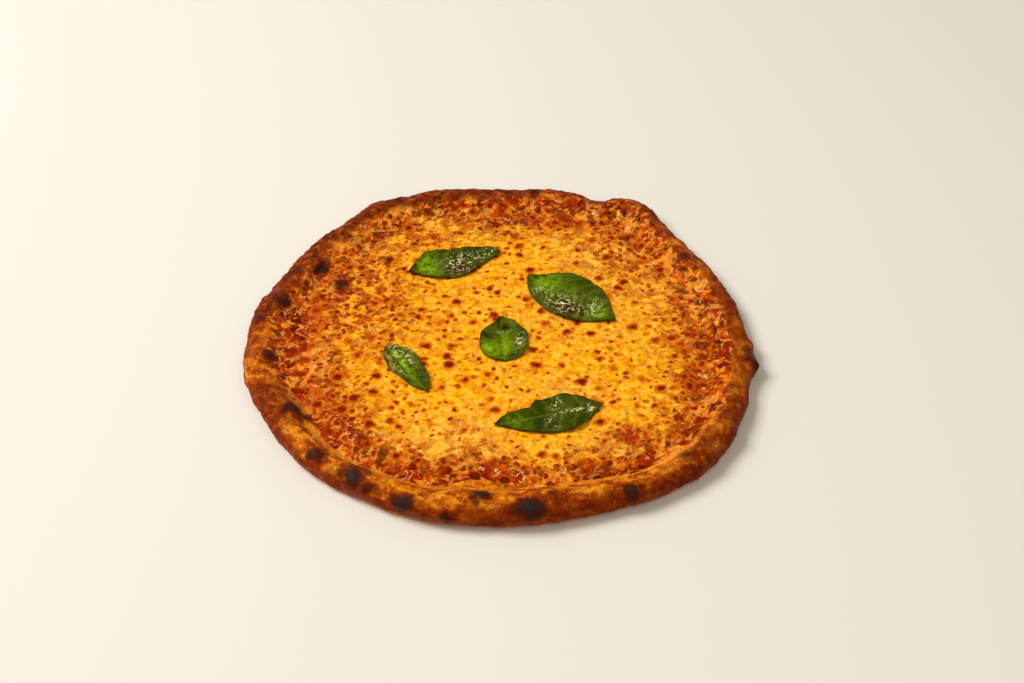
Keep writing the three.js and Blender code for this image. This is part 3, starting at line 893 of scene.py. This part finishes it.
def paint_cheese(piece, spots):
    """Keeps where the cheese is browned, toasted, creamy, burnt or stained by sauce."""
    points = vertex_positions(piece)
    x, y = points[:, 0], points[:, 1]
    angle, radius = polar(points)
    inwards = cheese_cover(angle, radius, points)
    level = points * [1, 1, 0]
    bend_x = x + 1.5 * lumps(level, 4.5, 3, 6)
    bend_y = y + 1.5 * lumps(level, 4.5, 3, 7)
    brown = np.zeros(len(points))
    for at_x, at_y, size, _, strength in spots:
        apart = np.hypot(bend_x - at_x, bend_y - at_y) / size
        near = apart < 1.8
        brown[near] = np.maximum(brown[near], strength * bell(apart[near]))
    rim_toast = smooth(1.1 - inwards / (mixed_reach(angle) + TOASTED_BEYOND))
    toast = np.maximum(zones(TOASTED_ZONES, x, y), rim_toast)
    cream = zones(CREAM_ZONES, x, y)
    store(piece, "brown", brown)
    store(piece, "toast", toast * (1 - 0.6 * cream))
    store(piece, "cream", cream)
    store(piece, "edge", smooth(1.15 - inwards / mixed_reach(angle)) * (1 - 0.6 * cream))
    store(piece, "pool", zones(SAUCE_POOLS, bend_x, bend_y))
    store(piece, "burn", charring(points))


def cheese_material(settings):
    """Melted mozzarella: yellow to cream fat and curd, toasted orange, with brown blisters and oil."""
    paint = Painter("melted_mozzarella")
    warped = paint.warp(paint.place, 4, 2.2)
    clouds = paint.noise(13, 3, 0.55, 2)
    blotches = paint.noise(10, 2, 0.5, 41, warped)
    smudges = paint.noise(9, 3, 0.6, 31, warped)
    curd = paint.noise(4.6, 3, 0.6, 5, warped)
    fine = paint.noise(2.0, 2, 0.6, 7, warped)
    shreds = paint.shreds(warped, 1.3, 3.5, 70)
    pool = paint.roughened("pool", curd, 1.6)
    edge = paint.roughened("edge", clouds, 1.4)
    toasted = paint.combine("ADD", "toast", (clouds, 0.36, 0.62, 0.4, -0.1))
    brown = paint.roughened("brown", fine, 0.45)
    freckles = paint.spots(6.0, 0.34, 3, warped)
    specks = paint.noise(3.4, 1, 0.5, 51, warped)
    creamy = paint.combine("MULTIPLY", "cream", 0.75)
    freckled = paint.combine("MAXIMUM", (toasted, 0.1, 0.9, 0.92, 0.12), creamy)
    mix = paint.baked_mix(paint.warp(paint.place, 7, 2.2), (pool, 0.28, 0.6))
    colour = paint.layers(list(settings.yellow), [
        ("#e47e04", (toasted, 0.15, 1.0, 0.75)),
        ("#de7804", (smudges, 0.49, 0.37, 0.65)),
        ("#ffcb50", (curd, 0.54, 0.64, 0.55)),
        ("#e47c04", (curd, 0.48, 0.38, 0.7)),
        ("#ffc660", "cream", (fine, 0.42, 0.6, 0.7, 0.05)),
        ("#bc5204", "cream", (blotches, 0.52, 0.44, 0.95)),
        ("#8c2002", "toast", (curd, 0.53, 0.43, 0.85)),
        ("#861202", "toast", (blotches, 0.5, 0.43, 0.95)),
        ("#fcac1c", "toast", (blotches, 0.52, 0.6, 0.75)),
        ("#cc5c04", (fine, 0.45, 0.37), (toasted, 0.0, 0.7, 0.5, 0.15)),
        ("#c86804", (specks, 0.46, 0.37, 0.55)),
        ("#ffc858", shreds, 0.36),
        (mix, (paint.combine("MAXIMUM", edge, pool), 0.3, 0.75, 0.9)),
        ("#a01803", (pool, 0.45, 0.8), (curd, 0.57, 0.45, 0.75, 0.1)),
        ("#801802", freckles, freckled),
        ("#cc5e04", (brown, 0.12, 0.4, 0.8)),
        ("#962803", (brown, 0.34, 0.66, 0.9)),
        ("#6a1202", (brown, 0.58, 0.95, 0.95)),
    ])
    curds = paint.combine("MULTIPLY", "toast", blotches)
    return paint.surface({
        "Base Color": paint.charred_with_sheen(colour, curd), "Roughness": (clouds, 0.35, 0.65, 0.6, 0.42),
        "IOR": 1.45, "Specular IOR Level": 0.1, "Specular Tint": linear("#ff9c34"),
        "Coat Weight": (paint.noise(6, 2, 0.5, 21), 0.56, 0.64, 0.1), "Coat Roughness": 0.12,
    }, relief=[(curds, 2.0, 0.6), (curd, 0.9, 0.5), (shreds, 0.35, 0.35), (fine, 0.4, 0.3)])


# The basil leaves: the middle, length and heading of each, how deep it is cupped, how high its edge waves,
# how fresh it is, half its width at the stem, and how far its left and right edges lie from its midrib
# along the way from stem to tip. Its marks are soft ovals: (share of the length, share across with left
# above 0, the reach of each, strength).
BASIL = [
    dict(x=-31, y=75, length=65, heading=20.5, cup=1.0, wave=0.7, fresh=0.25, stem=0.6,
         left=[(0.12, 10.5), (0.25, 17), (0.35, 17.2), (0.66, 12.4), (0.82, 10.4), (0.93, 7.6)],
         right=[(0.06, 3.2), (0.2, 10.6), (0.36, 14.6), (0.55, 14.8), (0.73, 8.8), (0.9, 3.8)],
         light=[(0.2, 0.1, 0.13, 0.9, 1.0)],
         dark=[(0.62, 0.5, 0.3, 0.5, 0.8), (0.9, 0.0, 0.12, 0.9, 0.7)],
         # The second wilt mark paints the stem end dark brown: a wilted tip, with painted shade over it.
         wilt=[(0.5, -0.4, 0.17, 0.5, 1.0), (0.0, 0.0, 0.12, 1.5, 1.0)],
         glint=[(0.58, -0.1, 0.17, 0.6, 1.0), (0.86, 0.2, 0.1, 0.5, 0.8)]),
    dict(x=45.2, y=36.9, length=71.5, heading=-39, cup=1.4, wave=0.7, fresh=0.4, stem=1,
         left=[(0.05, 5), (0.11, 10.5), (0.26, 18), (0.47, 22.5), (0.61, 20.5), (0.75, 15.5), (0.88, 8.5)],
         right=[(0.05, 5), (0.19, 14.5), (0.37, 18.6), (0.56, 19.4), (0.7, 17), (0.85, 9.5)],
         light=[(0.17, 0.2, 0.17, 0.7, 0.8), (0.84, -0.1, 0.09, 0.5, 0.8)],
         dark=[(0.5, 0.75, 0.3, 0.25, 0.6), (0.95, 0.2, 0.05, 0.9, 0.8)],
         wilt=[(0.56, -0.5, 0.21, 0.42, 1.0)],
         glint=[(0.5, -0.4, 0.2, 0.4, 1.0), (0.74, 0.0, 0.08, 0.5, 0.8), (0.2, -0.5, 0.05, 0.3, 0.8)]),
    dict(x=1, y=-3.6, length=41.5, heading=94, cup=1.8, wave=1.0, fresh=0.6, stem=1,
         left=[(0.04, 6), (0.14, 11), (0.26, 14.2), (0.45, 14.6), (0.6, 13.6), (0.75, 9.8), (0.9, 4)],
         right=[(0.04, 6), (0.14, 11.6), (0.3, 15.2), (0.5, 16.1), (0.68, 14.8), (0.85, 10.2), (0.94, 6)],
         light=[(0.3, 0.55, 0.16, 0.45, 1.0), (0.3, -0.1, 0.25, 0.2, 0.8)],
         dark=[(0.6, 0.6, 0.07, 0.6, 1.0), (0.8, 0.3, 0.16, 0.7, 0.7), (0.12, -0.5, 0.12, 0.4, 1.0),
               (0.62, -0.85, 0.2, 0.25, 0.9)],
         dark_spot=[(0.77, -0.2, 0.07, 0.28, 1.0)],
         glint=[(0.67, -0.2, 0.03, 0.3, 1.0), (0.42, -0.7, 0.2, 0.2, 0.6)]),
    dict(x=-58, y=-31.6, length=49, heading=-56, cup=2.2, wave=0.6, fresh=0.4, stem=1,
         left=[(0.05, 5), (0.16, 9.4), (0.34, 10.7), (0.53, 10), (0.7, 8.6), (0.85, 6.4), (0.94, 3.6)],
         right=[(0.06, 3.8), (0.2, 7), (0.38, 8.7), (0.55, 8.2), (0.7, 6.4), (0.85, 4)],
         light=[(0.3, 0.1, 0.25, 0.25, 1.0), (0.6, 0.0, 0.16, 0.3, 0.6)],
         dark=[(0.35, -0.2, 0.3, 0.15, 0.9), (0.78, 0.5, 0.2, 0.5, 1.0)],
         pale=[(0.26, -0.6, 0.2, 0.35, 0.9)],
         glint=[(0.5, -0.6, 0.1, 0.4, 1.0), (0.2, 0.6, 0.22, 0.4, 1.0)]),
    dict(x=29, y=-71.8, length=67, heading=196, cup=1.2, wave=0.8, fresh=0.15, stem=0.8,
         left=[(0.08, 5.2), (0.2, 11.8), (0.32, 16), (0.47, 16), (0.65, 13.4), (0.8, 8.4), (0.92, 3)],
         right=[(0.08, 4), (0.2, 10), (0.3, 14), (0.4, 14.6), (0.5, 12), (0.58, 11.8), (0.63, 9),
                (0.75, 8.8), (0.88, 6)],
         light=[(0.84, 0.0, 0.13, 0.6, 0.5)],
         dark=[(0.62, 0.2, 0.08, 0.9, 1.0), (0.3, 0.8, 0.3, 0.25, 0.8)],
         glint=[(0.26, 0.05, 0.16, 0.12, 1.0), (0.4, -0.5, 0.06, 0.3, 0.8), (0.12, 0.1, 0.05, 0.4, 0.8),
                (0.5, 0.5, 0.06, 0.3, 0.6)]),
]
MARKS = ("light", "dark", "wilt", "pale", "dark_spot", "glint")
# What the leaves share: half their width at the tip, their pairs of veins and how far these slant forwards,
# how high the skin puckers between them, the sunken midrib, the dried brim, how far both ends lift, the
# lumps as above, and how far over the cheese they lie.
TIP_WIDTH = 0.4
VEIN_PAIRS = 7
VEIN_SLANT = 0.55
PUCKER_HEIGHT = 0.75
MIDRIB = dict(width=0.7, depth=0.6)
BRIM_WIDTH = 2.4
END_LIFT = 1.2
LEAF_LUMPS = [(11, 1.1, 2, 20), (3.5, 0.5, 2, 30)]
LEAF_CLEARANCE = 0.25


class BasilSettings(PropertyGroup):
    """The basil leaves."""
    cells: IntProperty(name="Cells", description="Grid cells along a leaf", default=120)
    thickness: FloatProperty(name="Thickness", description="Thickness of a leaf", default=0.0004,
                             unit="LENGTH")
    green: colour_setting("Leaf green", "Colour of a leaf under its marks", "#454c02")


class PIZZA_OT_basil(Operator):
    """Lay the five basil leaves, each draped over the cheese with its veins and puckers."""
    bl_idname = "pizza.basil"
    bl_label = "Lay the basil"

    def execute(self, context):
        settings = context.scene.pizza_basil
        spots = cheese_blisters()
        material = basil_material(settings)
        for number, leaf in enumerate(BASIL, start=1):
            piece = basil_leaf(leaf, number, spots, settings)
            finish_piece(piece, f"basil_{number}", material, [f"basil_leaf_{number}"])
        return {"FINISHED"}


def through(points, at):
    """A smooth curve through points."""
    xs, ys = np.array(points, dtype=float).T
    slopes = np.gradient(ys, xs)
    i = np.clip(np.searchsorted(xs, at) - 1, 0, len(xs) - 2)
    span = xs[i + 1] - xs[i]
    t = (at - xs[i]) / span
    start = (2 * t ** 3 - 3 * t ** 2 + 1) * ys[i] + (t ** 3 - 2 * t ** 2 + t) * span * slopes[i]
    return start + (3 * t ** 2 - 2 * t ** 3) * ys[i + 1] + (t ** 3 - t ** 2) * span * slopes[i + 1]


def basil_leaf(leaf, number, spots, settings):
    """One leaf: a grid shaped to the outline, puckered between its veins, and given its thickness."""
    deselect()
    bpy.ops.mesh.primitive_grid_add(x_subdivisions=settings.cells, y_subdivisions=settings.cells * 3 // 5,
                                    size=2)
    piece = bpy.context.active_object
    square = vertex_positions(piece) * MM
    along = 0.5 + 0.5 * np.sin(square[:, 0] * math.pi / 2)
    across = square[:, 1]
    left, right = [[(0, leaf["stem"]), *leaf[edge], (1, TIP_WIDTH)] for edge in ("left", "right")]
    half = np.where(across > 0, through(left, along), through(right, along))
    side = across * np.maximum(half, 0.3)
    fade = np.sin(math.pi * np.clip(along, 0.02, 0.98)) ** 0.5
    points = leaf_places(leaf, along, side)
    height, vein = leaf_relief(leaf, number, points, along, across, side, fade)
    ground = cheese_top(*polar(points), points, spots)
    lowest = np.percentile(height, 20)
    points[:, 2] = np.maximum(ground.mean() + height - lowest, ground) + LEAF_CLEARANCE
    move_vertices(piece, points)
    store(piece, "vein", vein)
    store(piece, "fresh", leaf["fresh"] + 0.25 * lumps(points, 10, 2, 40 + number))
    store(piece, "brim", smooth(1 - np.minimum(half - np.abs(side), BRIM_WIDTH * fade) / BRIM_WIDTH))
    for kind in MARKS:
        store(piece, kind, zones(leaf.get(kind, []), along, across))
    thicken(piece, settings.thickness)
    return piece


def leaf_places(leaf, along, side):
    """Where a leaf's points lie over the pizza, all at height 0."""
    forwards = (along - 0.5) * leaf["length"]
    turn = math.radians(leaf["heading"])
    x = leaf["x"] + forwards * math.cos(turn) - side * math.sin(turn)
    y = leaf["y"] + forwards * math.sin(turn) + side * math.cos(turn)
    return flat_points(x, y)


def leaf_relief(leaf, number, points, along, across, side, fade):
    """How high a leaf's skin stands above a flat one, and how near each point is to a vein."""
    phase = VEIN_PAIRS * (along - VEIN_SLANT * np.abs(side) / leaf["length"]) + 0.4 * (across > 0)
    phase += 0.25 * lumps(points, 9, 2, number)
    between_veins = np.abs(np.sin(math.pi * phase))
    from_midrib = np.clip(np.abs(side) / 3, 0, 1)
    midrib = bell(side / MIDRIB["width"])
    height = leaf["cup"] * across ** 2 * fade - MIDRIB["depth"] * midrib * fade
    height += PUCKER_HEIGHT * between_veins ** 0.6 * from_midrib * fade * (1 - 0.6 * across ** 4)
    height += leaf["wave"] * np.abs(across) * (1 + np.sin(17 * along + 2.4 * np.sign(across)))
    height += relief(points, LEAF_LUMPS, number) + END_LIFT * (2 * along - 1) ** 4
    return height, np.maximum(midrib, (1 - between_veins) ** 3 * from_midrib * 0.8)


def thicken(piece, thickness):
    """Gives an open sheet its thickness, upwards."""
    modifier = piece.modifiers.new("leaf thickness", "SOLIDIFY")
    modifier.thickness = thickness
    modifier.offset = 1
    select_only(piece)
    bpy.ops.object.modifier_apply(modifier=modifier.name)


def basil_material(settings):
    """Fresh basil softened by the oven: smooth green skin, wilted brown where it dried, wet with oil that
    shows as painted glints.
    """
    paint = Painter("oiled_basil_leaf")
    warped = paint.warp(paint.place, 3, 1.2)
    clouds = paint.noise(9, 3, 0.5, 1)
    skin = paint.noise(3.2, 4, 0.6, 4, warped)
    fine = paint.noise(1.1, 2, 0.5, 6)
    fresh = paint.roughened("fresh", clouds, 1.2)
    colour = paint.layers(list(settings.green), [
        ("#687804", (fresh, 0.2, 1.0)),
        ("#283602", (fresh, 0.35, -0.2, 0.85)),
        # Bright and dark marks are the leaf's own colour, and also painted light and shade on its folds.
        ("#8cb410", "light", (skin, 0.4, 0.6, 1.0, 0.4)),
        ("#1c2c02", "dark", 0.85),
        ("#2d4204", (skin, 0.47, 0.37, 0.6)),
        ("#8a9c20", "vein", 0.25),
        ("#3a2606", "brim", 0.55),
        ("#3c1c08", "wilt", (skin, 0.62, 0.48, 1.0, 0.35)),
        ("#b8944c", "pale", (skin, 0.44, 0.54)),
        # A near-black spot painted on the leaf.
        ("#1c0c10", "dark_spot"),
        # Painted glints: pale thin lines that stand in for highlights on the oiled skin.
        ("#f0e8b0", "glint", (skin, 0.48, 0.54), paint.cracks(3.2, 0.36, warped)),
    ])
    return paint.surface({
        "Base Color": colour, "Roughness": (clouds, 0.4, 0.6, 0.55, 0.4),
        "IOR": 1.45, "Specular IOR Level": 0.06, "Specular Tint": linear("#f0f040"),
        "Coat Weight": 0.03, "Coat Roughness": 0.07,
    }, relief=[(skin, 1.0, 0.8), (fine, 0.2, 0.5)])


# The point that the camera looks at, near the middle of the pizza, in metres.
AIM = Vector((0.007, -0.0012, 0.005))


class StageSettings(PropertyGroup):
    """The camera, the floor and the light."""
    lens: FloatProperty(name="Lens", description="Focal length in millimetres", default=50)
    distance: FloatProperty(name="Distance", description="From the camera to what it looks at",
                            default=0.9, unit="LENGTH")
    elevation: FloatProperty(name="Elevation", description="How steeply the camera looks down",
                             default=math.radians(41), subtype="ANGLE")


class PIZZA_OT_stage(Operator):
    """Set up the pale floor, the soft studio light and the camera."""
    bl_idname = "pizza.stage"
    bl_label = "Set the stage"

    def execute(self, context):
        settings = context.scene.pizza_stage
        deselect()
        bpy.ops.mesh.primitive_plane_add(size=8, location=(0, 0, 0))
        floor = context.active_object
        floor.name = "floor"
        paper = Painter("pale_paper_floor").surface({"Base Color": linear("#e2ddd3"), "Roughness": 0.9})
        floor.data.materials.append(paper)
        add_camera(settings)
        add_area_light("key_light", place=(-1.8, 0.3, 2.1), size=1.3, power=74)
        add_area_light("fill_light", place=(0.6, -1.2, 2.2), size=2.0, power=11)
        world = bpy.data.worlds.new("studio")
        world.use_nodes = True
        context.scene.world = world
        background = world.node_tree.nodes["Background"]
        background.inputs["Color"].default_value = (1, 0.9, 0.74, 1)
        background.inputs["Strength"].default_value = 0.38
        context.scene.view_settings.view_transform = "Standard"
        return {"FINISHED"}


def add_camera(settings):
    """Adds the camera in front of the pizza, looking down."""
    data = bpy.data.cameras.new("camera")
    data.lens = settings.lens
    data.sensor_width = 36
    back = Vector((0, -math.cos(settings.elevation), math.sin(settings.elevation)))
    bpy.context.scene.camera = aimed("camera", data, AIM + back * settings.distance, AIM)


def add_area_light(name, place, size, power):
    """Adds a square soft light that faces the pizza."""
    data = bpy.data.lights.new(name, "AREA")
    data.size = size
    data.energy = power
    aimed(name, data, Vector(place), Vector((0, 0, 0)))


def aimed(name, data, place, target):
    """Adds a camera or light at its place, turned to face a point."""
    item = bpy.data.objects.new(name, data)
    item.location = place
    item.rotation_euler = (target - place).to_track_quat("-Z", "Y").to_euler()
    bpy.context.scene.collection.objects.link(item)
    return item


class PIZZA_PT_panel(Panel):
    """Lists the pizza's operators in the sidebar."""
    bl_idname = "PIZZA_PT_panel"
    bl_label = "Margherita Pizza"
    bl_space_type = "VIEW_3D"
    bl_region_type = "UI"
    bl_category = "Pizza"

    def draw(self, context):
        for operator in OPERATORS:
            self.layout.operator(operator.bl_idname)


SETTINGS = {
    "pizza_bread": BreadSettings, "pizza_sauce": SauceSettings, "pizza_cheese": CheeseSettings,
    "pizza_basil": BasilSettings, "pizza_stage": StageSettings,
}
OPERATORS = (PIZZA_OT_crust, PIZZA_OT_sauce, PIZZA_OT_cheese, PIZZA_OT_basil, PIZZA_OT_stage)
CLASSES = (*SETTINGS.values(), *OPERATORS, PIZZA_PT_panel)


def register():
    for cls in CLASSES:
        bpy.utils.register_class(cls)
    for name, kind in SETTINGS.items():
        setattr(bpy.types.Scene, name, PointerProperty(type=kind))


def unregister():
    for name in SETTINGS:
        delattr(bpy.types.Scene, name)
    for cls in reversed(CLASSES):
        bpy.utils.unregister_class(cls)


def main():
    """Makes every piece in order."""
    register()
    bpy.ops.pizza.crust()
    bpy.ops.pizza.sauce()
    bpy.ops.pizza.cheese()
    bpy.ops.pizza.basil()
    bpy.ops.pizza.stage()


if __name__ == "__main__":
    main()
